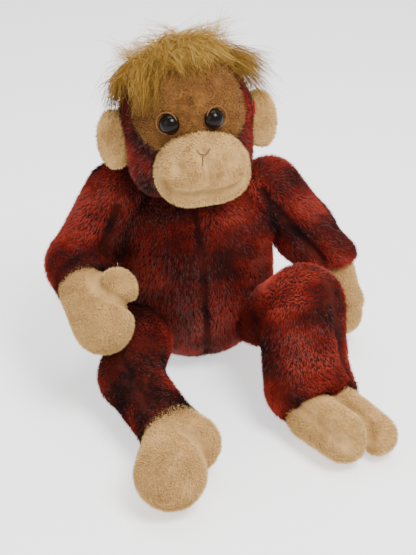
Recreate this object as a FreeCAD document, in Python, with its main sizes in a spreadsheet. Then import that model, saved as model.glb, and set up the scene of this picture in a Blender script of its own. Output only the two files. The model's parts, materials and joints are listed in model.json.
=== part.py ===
"""A seated plush orangutan: fabric covers, stuffing, pellet bags and safety eyes, all as separate solids.

Frame: millimetres, +Z up, the toy faces -Y, and its own right hand is on the -X side.
The origin is the middle of the flat seat that the toy rests on.
Every soft segment is a sausage: two balls joined by a tangent cone.
"""

import FreeCAD
import Part

import math
import os

import Sketcher

Vector = FreeCAD.Vector
doc = FreeCAD.newDocument("PlushOrangutan")
sheet = doc.addObject("Spreadsheet::Sheet", "Sizes")

# ---------------------------------------------------------------- driving dimensions
SIZES = {
    "cover_wall": 2.0,
    "joint_gap": 1.2,
    "copy_step": 0.04,
    "seam_gap": 0.35,
    "big_block": 300.0,
    "torso_low_radius": 59.0,
    "torso_high_radius": 47.0,
    "pellet_level": 36.0,
    "neck_radius": 20.0,
    "head_lean_back": 13.0,
    "head_lean_side": 4.5,
    "head_turn": 6.0,
    "skull_length": 8.0,
    "skull_low_radius": 45.0,
    "skull_high_radius": 48.0,
    "face_radius": 41.0,
    "face_ball_radius": 46.5,
    "muzzle_radius": 25.0,
    "muzzle_side": -2.0,
    "muzzle_forward": 40.5,
    "muzzle_drop": 31.5,
    "muzzle_spread": 21.0,
    "hair_depth": 12.0,
    "hair_line": 14.0,
    "ear_spread": 113.0,
    "ear_side": 1.0,
    "ear_back": 2.0,
    "ear_drop": 9.0,
    "ear_height": 42.0,
    "ear_width": 21.0,
    "ear_thickness": 11.0,
    "eye_spread": 30.5,
    "eye_side": -5.75,
    "eye_rise": 3.0,
    "eye_radius": 7.5,
    "eye_dome": 6.0,
    "eye_lift": 1.9,
    "stem_radius": 1.6,
    "stem_length": 16.0,
    "washer_radius": 6.5,
    "washer_thickness": 1.6,
    "washer_depth": 11.0,
    "washer_bore_depth": 30.0,
    "thread_radius": 0.8,
    "thread_lift": 0.6,
    "nose_down_length": 6.0,
    "nose_wing_length": 5.0,
    "fastener_radius": 0.7,
    "fastener_length": 10.0,
}

# joint centres and segment ends, as x, y, z
POINTS = {
    "torso_low": (-3, 0, 50),
    "torso_high": (-3, 0, 110),
    "neck": (-3, 0, 170),
    "head": (-12, -26, 217),
    "right_shoulder": (-64, -2, 148),
    "right_elbow": (-97, -14, 94),
    "right_wrist": (-90, -52, 91),
    "right_palm": (-82, -84, 81),
    "right_thumb": (-68, -66, 88),
    "left_shoulder": (57, 2, 144),
    "left_elbow": (89, 16, 98),
    "left_wrist": (112, -2, 68),
    "left_palm": (120, -6, 28),
    "left_thumb": (126, -16, 46),
    "right_hip": (-50, -34, 38),
    "right_knee": (-70, -84, 29),
    "right_ankle": (-43, -155, 25),
    "right_sole": (-48, -197, 24.5),
    "right_toe": (-22, -178, 22),
    "left_hip": (44, -32, 42),
    "left_knee": (70, -82, 82),
    "left_ankle": (72, -116, 30),
    "left_sole": (110, -168, 17),
    "left_toe": (86, -166, 19),
}

# segment: (first point, last point, first radius, last radius)
SEGMENTS = {
    "right_upper_arm": ("right_shoulder", "right_elbow", 21.0, 21.0),
    "right_forearm": ("right_elbow", "right_wrist", 21.0, 20.0),
    "right_hand": ("right_wrist", "right_palm", 19.0, 21.0),
    "left_upper_arm": ("left_shoulder", "left_elbow", 21.0, 20.0),
    "left_forearm": ("left_elbow", "left_wrist", 20.0, 18.0),
    "left_hand": ("left_wrist", "left_palm", 16.0, 16.0),
    "right_thigh": ("right_hip", "right_knee", 24.0, 22.0),
    "right_shin": ("right_knee", "right_ankle", 22.0, 20.0),
    "right_foot": ("right_ankle", "right_sole", 20.0, 22.0),
    "left_thigh": ("left_hip", "left_knee", 25.0, 26.0),
    "left_shin": ("left_knee", "left_ankle", 26.0, 23.0),
    "left_foot": ("left_ankle", "left_sole", 17.0, 15.0),
}

# second lobe of each hand and foot: (tip point, root radius, tip radius)
LOBES = {
    "right_hand": ("right_thumb", 12.0, 12.0),
    "left_hand": ("left_thumb", 10.0, 10.0),
    "right_foot": ("right_toe", 15.0, 16.0),
    "left_foot": ("left_toe", 17.0, 16.0),
}

for name, (first, last, first_radius, last_radius) in SEGMENTS.items():
    SIZES[name + "_first_radius"] = first_radius
    SIZES[name + "_last_radius"] = last_radius
for name, (tip, root_radius, tip_radius) in LOBES.items():
    SIZES[name + "_lobe_root_radius"] = root_radius
    SIZES[name + "_lobe_tip_radius"] = tip_radius
for name, point in POINTS.items():
    for axis_letter, value in zip("xyz", point):
        SIZES[name + "_" + axis_letter] = value

ALIASES = []


def add_cell(alias, value):
    """Puts a named value on the sheet's next row."""
    ALIASES.append(alias)
    row = len(ALIASES)
    sheet.set(f"A{row}", alias)
    sheet.set(f"B{row}", str(value))
    sheet.setAlias(f"B{row}", alias)


for alias, value in SIZES.items():
    add_cell(alias, value)
doc.recompute()


def size(alias):
    """A driving dimension, read back from the sheet."""
    return float(sheet.get(alias))


def point(name):
    """A joint centre or segment end, read back from the sheet."""
    return Vector(*(size(name + "_" + letter) for letter in "xyz"))


# ---------------------------------------------------------------- building blocks
def origin_plane(body, role):
    """The body's own origin plane that plays this role."""
    return [feature for feature in body.Origin.OriginFeatures if feature.Role == role][0]


def add_sketch(body, name):
    """A sketch on the body's XZ plane: its vertical axis is the body's own Z."""
    sketch = body.newObject("Sketcher::SketchObject", name + "_outline")
    sketch.AttachmentSupport = (origin_plane(body, "XZ_Plane"), "")
    sketch.MapMode = "FlatFace"
    return sketch


def revolve(body, sketch, name):
    """Turns the sketch once around its vertical axis."""
    feature = body.newObject("PartDesign::Revolution", name + "_turned")
    feature.Profile = sketch
    feature.ReferenceAxis = (sketch, ["V_Axis"])
    feature.Angle = 360
    body.Tip = feature
    return body


def close_outline(sketch, edges):
    """Joins each edge of the outline to the next."""
    for index in range(len(edges)):
        following = (index + 1) % len(edges)
        sketch.addConstraint(Sketcher.Constraint("Coincident", index, 2, following, 1))


# what each surface of a soft segment stands off its outer face
GROWTH = {
    "outside": "",
    "inside": " - Sizes.cover_wall",
    "filling": " - Sizes.cover_wall - Sizes.seam_gap",
    "seam": " + Sizes.seam_gap",
    "travel": " + Sizes.joint_gap",
}


def growth(extra):
    """The same stand-off as a number."""
    total = 0.0
    for sign, alias in zip(GROWTH[extra].split()[0::2], GROWTH[extra].split()[1::2]):
        total += (1 if sign == "+" else -1) * size(alias.split(".")[1])
    return total


def sausage(name, first, last, first_size, last_size, extra="outside", steps=0):
    """Two balls and their tangent cone, as a turned outline.

    first and last are point names, first_size and last_size are radius cells,
    extra names the surface, as in GROWTH, and steps makes it a hair larger each time.
    """
    grow_text = GROWTH[extra] + f" + {steps} * Sizes.copy_step"
    grow = growth(extra) + steps * size("copy_step")
    start, end = point(first), point(last)
    length = (end - start).Length
    low, high = size(first_size) + grow, size(last_size) + grow
    lean = math.asin((low - high) / length)

    body = doc.addObject("PartDesign::Body", name)
    sketch = add_sketch(body, name)
    up, right = Vector(0, 0, 1), Vector(1, 0, 0)
    low_edge = right * (low * math.cos(lean)) + Vector(0, low * math.sin(lean), 0)
    high_edge = right * (high * math.cos(lean)) + Vector(0, length + high * math.sin(lean), 0)
    low_ball = Part.Circle(Vector(0, 0, 0), up, low)
    high_ball = Part.Circle(Vector(0, length, 0), up, high)
    edges = [
        Part.ArcOfCircle(low_ball, -math.pi / 2, lean),
        Part.LineSegment(low_edge, high_edge),
        Part.ArcOfCircle(high_ball, lean, math.pi / 2),
        Part.LineSegment(Vector(0, length + high, 0), Vector(0, -low, 0)),
    ]
    sketch.addGeometry(edges, False)
    sketch.addConstraint(Sketcher.Constraint("Tangent", 0, 2, 1, 1))
    sketch.addConstraint(Sketcher.Constraint("Tangent", 1, 2, 2, 1))
    sketch.addConstraint(Sketcher.Constraint("Coincident", 2, 2, 3, 1))
    sketch.addConstraint(Sketcher.Constraint("Coincident", 3, 2, 0, 1))
    sketch.addConstraint(Sketcher.Constraint("Coincident", 0, 3, -1, 1))
    sketch.addConstraint(Sketcher.Constraint("PointOnObject", 2, 3, -2))
    sketch.addConstraint(Sketcher.Constraint("PointOnObject", 0, 1, -2))
    sketch.addConstraint(Sketcher.Constraint("PointOnObject", 2, 2, -2))
    for label, constraint, text in (
        ("low_radius", Sketcher.Constraint("Radius", 0, low), "Sizes." + first_size + grow_text),
        ("high_radius", Sketcher.Constraint("Radius", 2, high), "Sizes." + last_size + grow_text),
        ("centre_distance", Sketcher.Constraint("DistanceY", 0, 3, 2, 3, length), None),
    ):
        index = sketch.addConstraint(constraint)
        sketch.renameConstraint(index, label)
        if text is None:
            spans = [f"(Sizes.{last}_{c} - Sizes.{first}_{c})" for c in "xyz"]
            text = "sqrt(" + " + ".join(f"{span} * {span}" for span in spans) + ")"
        sketch.setExpression("Constraints." + label, text)
    revolve(body, sketch, name)
    body.Placement = FreeCAD.Placement(start, FreeCAD.Rotation(up, end - start))
    return body


def turned(placement, centre, axis, degrees):
    """The placement after a turn about an axis through a centre."""
    turn = FreeCAD.Placement(Vector(0, 0, 0), FreeCAD.Rotation(axis, degrees), centre)
    return turn.multiply(placement)


def fuse(name, shapes):
    """One tool or blank made of several solids."""
    if len(shapes) == 1:
        return shapes[0]
    joined = doc.addObject("Part::MultiFuse", name)
    joined.Shapes = shapes
    return joined


def cut(name, base, tool):
    """Base with the tool taken away."""
    result = doc.addObject("Part::Cut", name)
    result.Base = base
    result.Tool = tool
    return result


def common(name, base, tool):
    """What base and tool share."""
    result = doc.addObject("Part::Common", name)
    result.Base = base
    result.Tool = tool
    return result


def block(name, top):
    """A wide block, centred on the Z axis, that fills everything below a level."""
    box = doc.addObject("Part::Box", name)
    box.setExpression("Length", "2 * Sizes.big_block")
    box.setExpression("Width", "2 * Sizes.big_block")
    box.setExpression("Height", "Sizes.big_block")
    box.Placement.Base = Vector(-size("big_block"), -size("big_block"), top - size("big_block"))
    return box


NODES = {}


def keep(label, shape):
    """Marks an object as a sub-part under its own label."""
    shape.Label = label
    NODES[label] = shape
    return shape


# ---------------------------------------------------------------- torso
def torso_solid(name, extra, steps=0):
    """The pear-shaped torso: a low belly ball and a higher chest ball."""
    cells = ("torso_low", "torso_high", "torso_low_radius", "torso_high_radius")
    return sausage(name, *cells, extra, steps)


def make_torso():
    """Cover, fibre stuffing and the pellet bag in the seat."""
    levels = {}
    for surface in ("outside", "inside", "filling"):
        floor = block(f"under_{surface}", -growth(surface))
        levels[surface] = cut(f"torso_{surface}", torso_solid(f"torso_{surface}_blank", surface), floor)
    pellets = block("pellet_space", size("pellet_level"))
    keep("torso_cover", cut("torso_shell", levels["outside"], levels["inside"]))
    keep("torso_stuffing", cut("torso_fibre", levels["filling"], pellets))
    keep("seat_pellet_bag", common("torso_pellets", levels["filling"], pellets))


def make_neck():
    """The short neck tube: a ball on the torso's round top, so that the head can nod and turn."""
    clear_torso = torso_solid("neck_clearance", "travel")
    balls = {}
    for surface in ("outside", "inside", "filling"):
        ball = doc.addObject("Part::Sphere", f"neck_{surface}_ball")
        ball.setExpression("Radius", "Sizes.neck_radius" + GROWTH[surface])
        ball.Placement.Base = point("neck")
        balls[surface] = cut(f"neck_{surface}", ball, clear_torso)
    keep("neck_cover", cut("neck_shell", balls["outside"], balls["inside"]))
    keep("neck_stuffing", balls["filling"])


# ---------------------------------------------------------------- head
SIDES = {"right": -1, "left": 1}
HEAD_LEAN = (math.radians(size("head_lean_side")), math.radians(size("head_lean_back")))
HEAD_UP = Vector(-math.tan(HEAD_LEAN[0]), math.tan(HEAD_LEAN[1]), 1).normalize()
HEAD_TURN = FreeCAD.Rotation(Vector(0, 0, 1), size("head_turn"))
HEAD_SIDE = HEAD_TURN.multVec(Vector(1, 0, 0))
HEAD_SIDE = (HEAD_SIDE - HEAD_UP * HEAD_SIDE.dot(HEAD_UP)).normalize()
HEAD_BACK = HEAD_UP.cross(HEAD_SIDE)
HEAD_FRAME = FreeCAD.Rotation(HEAD_SIDE, HEAD_BACK, HEAD_UP, "ZXY")
HEAD_CENTRE = point("head")

# places on the head, measured from its middle: towards its own left, towards its back, and up
FACE_MIDDLE = (-3.0, -6.0, -4.0)
EAR_SWING_DEGREES = 22
HAIR_MIDDLE = (2.0, 0.0, 4.0)
FASTENER_FOOT = (51.0, -7.0, -4.0)
NOSE_SIDE = -2.5
NOSE_RISE_DEGREES = 32


def in_head(x, y, z):
    """A place given along the head's own side, back and up directions."""
    return HEAD_CENTRE + HEAD_SIDE * x + HEAD_BACK * y + HEAD_UP * z


MUZZLE_MIDDLE = in_head(size("muzzle_side"), -size("muzzle_forward"), -size("muzzle_drop"))
WORKED_OUT_POINTS = {
    "skull_low": in_head(0, 0, -size("skull_length") / 2),
    "skull_high": in_head(0, 0, size("skull_length") / 2),
    "muzzle_right": MUZZLE_MIDDLE - HEAD_SIDE * (size("muzzle_spread") / 2),
    "muzzle_left": MUZZLE_MIDDLE + HEAD_SIDE * (size("muzzle_spread") / 2),
}
for name, place in WORKED_OUT_POINTS.items():
    for axis_letter, value in zip("xyz", place):
        add_cell(name + "_" + axis_letter, value)
doc.recompute()


def on_skull(x, z, lift):
    """A point over the front of the skull, lifted off its surface, and the surface's own direction."""
    radius = size("face_ball_radius")
    depth = math.sqrt(radius * radius - x * x - z * z)
    outward = HEAD_SIDE * x - HEAD_BACK * depth + HEAD_UP * z
    outward.normalize()
    return in_head(0, 0, 0) + outward * (radius + lift), outward


def skull(name, extra):
    """The skull ball, a little longer than wide."""
    return sausage(name, "skull_low", "skull_high", "skull_low_radius", "skull_high_radius", extra)


def make_eye(side):
    """A domed safety eye on its stem, and the washer that locks it inside the face."""
    beside_middle = size("eye_side") + SIDES[side] * size("eye_spread") / 2
    seat, outward = on_skull(beside_middle, size("eye_rise"), size("eye_lift"))
    facing = FreeCAD.Rotation(Vector(0, 0, 1), outward)
    body = doc.addObject("PartDesign::Body", side + "_eye_blank")
    sketch = add_sketch(body, side + "_eye")
    rim, dome = size("eye_radius"), size("eye_dome")
    stem, length = size("stem_radius"), size("stem_length")
    bulge = (rim * rim + dome * dome) / (2 * dome)
    middle = bulge - dome
    lower = math.asin(middle / bulge)
    outline = [
        Part.ArcOfCircle(Part.Circle(Vector(0, -middle, 0), Vector(0, 0, 1), bulge), lower, math.pi / 2),
        Part.LineSegment(Vector(0, dome, 0), Vector(0, -length, 0)),
        Part.LineSegment(Vector(0, -length, 0), Vector(stem, -length, 0)),
        Part.LineSegment(Vector(stem, -length, 0), Vector(stem, 0, 0)),
        Part.LineSegment(Vector(stem, 0, 0), Vector(rim, 0, 0)),
    ]
    sketch.addGeometry(outline, False)
    close_outline(sketch, outline)
    sketch.addConstraint(Sketcher.Constraint("PointOnObject", 0, 2, -2))
    sketch.addConstraint(Sketcher.Constraint("PointOnObject", 1, 2, -2))
    sketch.addConstraint(Sketcher.Constraint("Horizontal", 2))
    sketch.addConstraint(Sketcher.Constraint("Vertical", 3))
    sketch.addConstraint(Sketcher.Constraint("Horizontal", 4))
    sketch.addConstraint(Sketcher.Constraint("PointOnObject", 4, 2, -1))
    bound = (
        ("dome", Sketcher.Constraint("DistanceY", -1, 1, 0, 2, dome), "Sizes.eye_dome"),
        ("rim", Sketcher.Constraint("DistanceX", -1, 1, 4, 2, rim), "Sizes.eye_radius"),
        ("stem", Sketcher.Constraint("DistanceX", -1, 1, 3, 1, stem), "Sizes.stem_radius"),
        ("reach", Sketcher.Constraint("DistanceY", 1, 2, -1, 1, length), "Sizes.stem_length"),
        ("bulge", Sketcher.Constraint("Radius", 0, bulge),
         "(Sizes.eye_radius * Sizes.eye_radius + Sizes.eye_dome * Sizes.eye_dome) / (2 * Sizes.eye_dome)"),
    )
    for label, constraint, text in bound:
        index = sketch.addConstraint(constraint)
        sketch.renameConstraint(index, label)
        sketch.setExpression("Constraints." + label, text)
    revolve(body, sketch, side + "_eye")
    body.Placement = FreeCAD.Placement(seat, facing)
    keep(side + "_eye", body)

    disc = doc.addObject("Part::Cylinder", side + "_washer_disc")
    disc.setExpression("Radius", "Sizes.washer_radius")
    disc.setExpression("Height", "Sizes.washer_thickness")
    disc.Placement = FreeCAD.Placement(seat - outward * size("washer_depth"), facing)
    hole = doc.addObject("Part::Cylinder", side + "_washer_hole")
    hole.setExpression("Radius", "Sizes.stem_radius")
    hole.setExpression("Height", "Sizes.washer_bore_depth")
    hole.Placement = FreeCAD.Placement(seat - outward * size("washer_bore_depth"), facing)
    washer = keep(side + "_eye_washer", cut(side + "_washer_ring", disc, hole))
    return body, washer


def make_ear(side):
    """A flat padded ear with a straight sewn edge beside the head."""
    sign = SIDES[side]
    ear = doc.addObject("Part::Ellipsoid", side + "_ear_blank")
    ear.setExpression("Radius1", "Sizes.ear_height / 2")
    ear.setExpression("Radius2", "Sizes.ear_width / 2")
    ear.setExpression("Radius3", "Sizes.ear_thickness / 2")
    half_turn = 0 if sign > 0 else 180
    swing = FreeCAD.Rotation(Vector(0, 0, 1), half_turn - EAR_SWING_DEGREES * sign)
    place = in_head(size("ear_side") + sign * size("ear_spread") / 2, size("ear_back"), -size("ear_drop"))
    ear.Placement = FreeCAD.Placement(place, HEAD_FRAME.multiply(swing))
    beside = doc.addObject("Part::Box", side + "_ear_clearance")
    for edge in ("Length", "Width", "Height"):
        beside.setExpression(edge, "Sizes.skull_high_radius * 2 + Sizes.seam_gap * 2")
    half = size("skull_high_radius") + size("seam_gap")
    beside.Placement = FreeCAD.Placement(in_head(-half, -half, -half), HEAD_FRAME)
    return keep(side + "_ear", cut(side + "_ear_sewn", ear, beside))


def make_head():
    """Skull covers, muzzle, ears, eyes, hair and the small trim."""
    clear_neck = doc.addObject("Part::Sphere", "neck_socket")
    clear_neck.setExpression("Radius", "Sizes.neck_radius + Sizes.seam_gap")
    clear_neck.Placement.Base = point("neck")
    outer = cut("skull_outer", skull("skull_blank", "outside"), clear_neck)
    shell = cut("skull_shell", outer, skull("skull_hollow", "inside"))
    inner = cut("skull_inner", skull("skull_core", "filling"), clear_neck)

    eyes = [make_eye(side) for side in SIDES]
    face_window = doc.addObject("Part::Cylinder", "face_window")
    face_window.setExpression("Radius", "Sizes.face_radius")
    face_window.setExpression("Height", "Sizes.big_block")
    facing = FreeCAD.Rotation(Vector(0, 0, 1), HEAD_BACK * -1)
    face_window.Placement = FreeCAD.Placement(in_head(*FACE_MIDDLE), facing)
    face = common("face_patch", shell, face_window)
    keep("face_panel", cut("face_patch_pierced", face, fuse("eye_stems", [e[0] for e in eyes])))
    keep("head_cover", cut("skull_back", shell, face_window))
    inside = [solid for pair in eyes for solid in pair]
    keep("head_stuffing", cut("skull_fibre", inner, fuse("eyes_and_washers", inside)))

    make_muzzle()
    for side in SIDES:
        make_ear(side)
    make_hair()
    make_stitch()
    make_fastener()


def make_muzzle():
    """The padded muzzle, sewn over the lower face."""
    beside = skull("muzzle_clearance", "seam")
    cells = ("muzzle_right", "muzzle_left", "muzzle_radius", "muzzle_radius")
    blanks = {extra: sausage(f"muzzle_{extra}_blank", *cells, extra) for extra in ("outside", "inside", "filling")}
    outer = cut("muzzle_outer", blanks["outside"], beside)
    keep("muzzle_cover", cut("muzzle_shell", outer, blanks["inside"]))
    keep("muzzle_stuffing", cut("muzzle_fibre", blanks["filling"], beside))


def make_hair():
    """The long tuft on the crown, as a cap of its outer size."""
    cap = doc.addObject("Part::Sphere", "hair_ball")
    cap.setExpression("Radius", "Sizes.skull_high_radius + Sizes.hair_depth")
    cap.Placement.Base = in_head(*HAIR_MIDDLE)
    above = doc.addObject("Part::Cylinder", "hair_region")
    above.setExpression("Radius", "Sizes.big_block")
    above.setExpression("Height", "Sizes.big_block")
    above.Placement = FreeCAD.Placement(
        in_head(0, 0, size("hair_line")), FreeCAD.Rotation(Vector(0, 0, 1), HEAD_UP)
    )
    top = common("hair_top", cap, above)
    keep("hair_tuft", cut("hair_cap", top, skull("hair_clearance", "seam")))


def thread(name, start, direction, length):
    """One straight stitch of the given length cell."""
    rod = doc.addObject("Part::Cylinder", name + "_rod")
    rod.setExpression("Radius", "Sizes.thread_radius")
    rod.setExpression("Height", "Sizes." + length)
    rod.Placement = FreeCAD.Placement(start, FreeCAD.Rotation(Vector(0, 0, 1), direction))
    return rod


def make_stitch():
    """The Y of thread that pinches the nose, lying along the top of the muzzle."""
    rise = math.radians(NOSE_RISE_DEGREES)
    outward = HEAD_BACK * -math.cos(rise) + HEAD_UP * math.sin(rise)
    upward = HEAD_BACK * math.sin(rise) + HEAD_UP * math.cos(rise)
    reach = size("muzzle_radius") + size("thread_radius") + size("thread_lift")
    root = in_head(NOSE_SIDE, -size("muzzle_forward"), -size("muzzle_drop")) + outward * reach
    strokes = [
        thread("nose_down", root, upward * -1, "nose_down_length"),
        thread("nose_right", root, upward - HEAD_SIDE, "nose_wing_length"),
        thread("nose_left", root, upward + HEAD_SIDE, "nose_wing_length"),
    ]
    knot = doc.addObject("Part::Sphere", "nose_knot")
    knot.setExpression("Radius", "Sizes.thread_radius")
    knot.Placement.Base = root
    keep("nose_stitch", fuse("nose_stitch_threads", strokes + [knot]))


def make_fastener():
    """The plain plastic fastener through the base of the left ear."""
    bar = doc.addObject("Part::Cylinder", "fastener_bar")
    bar.setExpression("Radius", "Sizes.fastener_radius")
    bar.setExpression("Height", "Sizes.fastener_length")
    bar.Placement = FreeCAD.Placement(in_head(*FASTENER_FOOT), FreeCAD.Rotation(Vector(0, 0, 1), HEAD_UP))
    keep("tag_fastener", bar)


# ---------------------------------------------------------------- limbs
def fold_axis(before, bend, after):
    """The direction that a limb folds about: positive closes the bend."""
    first = point(bend) - point(before)
    second = point(after) - point(bend)
    return first.cross(second).normalize()


# joint: (centre, axis, angles at which the part before it stands clear)
JOINTS = {
    "right_forearm": ("right_elbow", fold_axis("right_shoulder", "right_elbow", "right_wrist"), (0, 12, 24)),
    "right_hand": ("right_wrist", Vector(-1, 0, 0), (-6, 0, 15, 30, 40)),
    "left_forearm": ("left_elbow", fold_axis("left_shoulder", "left_elbow", "left_wrist"), (0, 15, 30)),
    "left_hand": ("left_wrist", Vector(-1, 0, 0), (-28, -10, 8, 26)),
    "right_thigh": ("right_hip", Vector(-1, 0, 0), (-40, -30, -20, -10, 0, 6)),
    "right_shin": ("right_knee", Vector(1, 0, 0), (0, 15, 30, 45, 60)),
    "right_foot": ("right_ankle", Vector(-1, 0, 0), (-25, -10, 0, 10, 20)),
    "left_thigh": ("left_hip", Vector(-1, 0, 0), (-40, -30, -20, -10, 0, 10)),
    "left_shin": ("left_knee", Vector(1, 0, 0), (-5, 0, 4, 8)),
    "left_foot": ("left_ankle", Vector(-1, 0, 0), (-20, -10, 0, 10, 20)),
}

BEFORE = {
    "right_forearm": "right_upper_arm",
    "right_hand": "right_forearm",
    "left_forearm": "left_upper_arm",
    "left_hand": "left_forearm",
    "right_shin": "right_thigh",
    "right_foot": "right_shin",
    "left_shin": "left_thigh",
    "left_foot": "left_shin",
}


def clearance(name):
    """Where the part before this joint reaches, seen from the moving part, over the joint's travel.

    Each copy is a hair larger than the last, so that no two share a face.
    """
    centre_name, axis, angles = JOINTS[name]
    copies = []
    for number, degrees in enumerate(angles):
        copy_name = f"{name}_clear_{number}"
        if name in BEFORE:
            first, last = SEGMENTS[BEFORE[name]][:2]
            cells = [BEFORE[name] + "_first_radius", BEFORE[name] + "_last_radius"]
            copy = sausage(copy_name, first, last, cells[0], cells[1], "travel", number)
        else:
            copy = torso_solid(copy_name, "travel", number)
        copy.Placement = turned(copy.Placement, point(centre_name), axis, -degrees)
        copies.append(copy)
    return fuse(name + "_clearance", copies)


def make_segment(name):
    """Cover and filling of one limb segment, with its second lobe if it is a hand or a foot."""
    first, last = SEGMENTS[name][:2]
    tool = clearance(name) if name in JOINTS else None
    solids = {}
    for extra in ("outside", "inside", "filling"):
        cells = [name + "_first_radius", name + "_last_radius"]
        pieces = [sausage(f"{name}_main_{extra}", first, last, *cells, extra)]
        if name in LOBES:
            cells = [name + "_lobe_root_radius", name + "_lobe_tip_radius"]
            pieces.append(sausage(f"{name}_lobe_{extra}", first, LOBES[name][0], *cells, extra))
        solids[extra] = fuse(f"{name}_solid_{extra}", pieces)
        if tool and extra != "inside":
            solids[extra] = cut(f"{name}_{extra}", solids[extra], tool)
    keep(name + "_cover", cut(name + "_shell", solids["outside"], solids["inside"]))
    keep(name + ("_filling" if name in LOBES else "_stuffing"), solids["filling"])


# ---------------------------------------------------------------- make, check and write
make_torso()
make_neck()
make_head()
for segment in SEGMENTS:
    make_segment(segment)

doc.recompute()
for item in doc.Objects:
    if "Invalid" in item.State or "Error" in item.State:
        raise RuntimeError(f"{item.Name} failed: {item.State}")
os.makedirs("parts", exist_ok=True)
for label, item in NODES.items():
    shape = item.Shape
    if shape.isNull() or not shape.isValid() or not shape.Solids:
        raise RuntimeError(f"{label} has no valid solid")
    shape.exportStep(os.path.join("parts", label + ".step"))
    print(f"{label}: {len(shape.Solids)} solid, {shape.Volume / 1000:.1f} cm3")
print(len(NODES), "sub-parts")
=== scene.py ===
# %% [markdown]
# # A stuffed orangutan, sitting
# The toy is a floppy plush ape: a pear-shaped body, long red limbs, cream hands, feet, ears and muzzle,
# and a golden mop of hair. Each limb is a stuffed fabric tube, so we make closed, puffed skins first,
# then sink the seams into them, and last grow the pile as real strands of mesh.
# The part's joints and boxes, in metres, are the anchors that every place below is measured from.

# %% Load the part that the looks are built around
import json
import math

import bpy
import numpy as np
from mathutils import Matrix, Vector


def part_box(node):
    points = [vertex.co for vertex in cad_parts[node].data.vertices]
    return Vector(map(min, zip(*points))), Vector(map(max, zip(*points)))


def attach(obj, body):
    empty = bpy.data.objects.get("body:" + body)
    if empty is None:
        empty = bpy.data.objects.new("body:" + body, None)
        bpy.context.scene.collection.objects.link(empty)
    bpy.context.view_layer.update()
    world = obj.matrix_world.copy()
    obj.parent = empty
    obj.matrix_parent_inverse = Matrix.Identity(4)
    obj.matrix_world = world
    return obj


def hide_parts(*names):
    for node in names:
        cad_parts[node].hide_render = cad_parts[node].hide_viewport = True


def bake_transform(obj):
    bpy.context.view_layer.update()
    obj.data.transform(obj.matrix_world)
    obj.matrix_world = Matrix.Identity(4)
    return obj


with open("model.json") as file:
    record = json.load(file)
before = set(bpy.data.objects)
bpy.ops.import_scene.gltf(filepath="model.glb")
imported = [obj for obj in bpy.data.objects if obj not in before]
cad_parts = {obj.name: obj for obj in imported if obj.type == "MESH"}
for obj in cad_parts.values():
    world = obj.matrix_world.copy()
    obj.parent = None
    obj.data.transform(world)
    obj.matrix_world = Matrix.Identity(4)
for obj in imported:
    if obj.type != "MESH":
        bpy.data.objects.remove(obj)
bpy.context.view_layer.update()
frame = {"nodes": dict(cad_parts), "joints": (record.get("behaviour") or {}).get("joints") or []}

import openvdb
from mathutils import Vector

MM = 0.001
JOINT = {joint["name"]: np.array(joint["pos_m"]) for joint in frame["joints"]}
print(len(JOINT), "joints,", len(frame["nodes"]), "pieces in the part")

# %% [markdown]
# ## Directions and places
# The head leans back a little and is turned a few degrees, as a floppy head does. We could write every
# place on it in the toy's own directions, but then an eye at the same height as its twin would need a
# different number. So places on the head are given in the head's own directions: towards its left ear,
# towards its back, and up.


# %% The head's own frame
def unit(vector):
    """The vector, or each vector in an array, at length one."""
    vector = np.asarray(vector, float)
    return vector / np.maximum(np.linalg.norm(vector, axis=-1, keepdims=True), 1e-12)


def box_middle(*nodes):
    """The middle of the box around some pieces of the part."""
    corners = np.array([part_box(node) for node in nodes])
    return (corners[:, 0].min(0) + corners[:, 1].max(0)) / 2


HEAD_TURN = math.radians(6)
HEAD_UP = unit((-0.077, 0.231, 1.0))
HEAD_SIDE = np.array([math.cos(HEAD_TURN), math.sin(HEAD_TURN), 0])
HEAD_SIDE = unit(HEAD_SIDE - HEAD_UP * (HEAD_SIDE @ HEAD_UP))
HEAD_BACK = np.cross(HEAD_UP, HEAD_SIDE)
HEAD_AXES = np.array([HEAD_SIDE, HEAD_BACK, HEAD_UP])
HEAD_MIDDLE = box_middle("head_cover", "face_panel")


def on_head(side, back, up):
    """A place given in millimetres along the head's own directions."""
    return HEAD_MIDDLE + np.array([side, back, up]) * MM @ HEAD_AXES


print("middle of the head at", np.round(HEAD_MIDDLE / MM, 1), "mm")

# %% [markdown]
# ## Soft shapes from distances
# A stuffed tube has no flat faces and no edges, so we describe each body part by its distance field: how
# far any point is from a tapered sausage or an egg. Fields melt into each other where parts are sewn in
# one, and the surface at distance zero becomes an even mesh of small quads, which suits a cloth solver.


# %% Distance fields
def sausage(start, end, start_radius, end_radius):
    """The field of a tapered tube with round ends, its sizes in millimetres."""
    axis = end - start
    length_squared = max(axis @ axis, 1e-12)

    def field(points):
        along = np.clip((points - start) @ axis / length_squared, 0, 1)
        nearest = start + along[..., None] * axis
        radius = (start_radius + (end_radius - start_radius) * along) * MM
        return np.linalg.norm(points - nearest, axis=-1) - radius

    return field


def egg(middle, radii, axes=np.eye(3)):
    """The field of an ellipsoid whose radii, in millimetres, lie along the given axes."""
    radii = np.array(radii) * MM

    def field(points):
        local = (points - middle) @ axes.T
        near = np.linalg.norm(local / radii, axis=-1)
        steep = np.linalg.norm(local / radii**2, axis=-1)
        return near * (near - 1) / np.maximum(steep, 1e-9)

    return field


def half_space(point, outward):
    """The field that is positive beyond a plane, for cutting a cuff."""
    outward = unit(outward)
    return lambda points: (points - point) @ outward


def melt(*fields, width=8.0):
    """Joins fields with a soft fold as wide as the given millimetres."""

    def field(points):
        total = fields[0](points)
        for other in fields[1:]:
            value = other(points)
            share = np.clip(0.5 + 0.5 * (value - total) / (width * MM), 0, 1)
            total = value * (1 - share) + total * share - width * MM * share * (1 - share)
        return total

    return field


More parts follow.
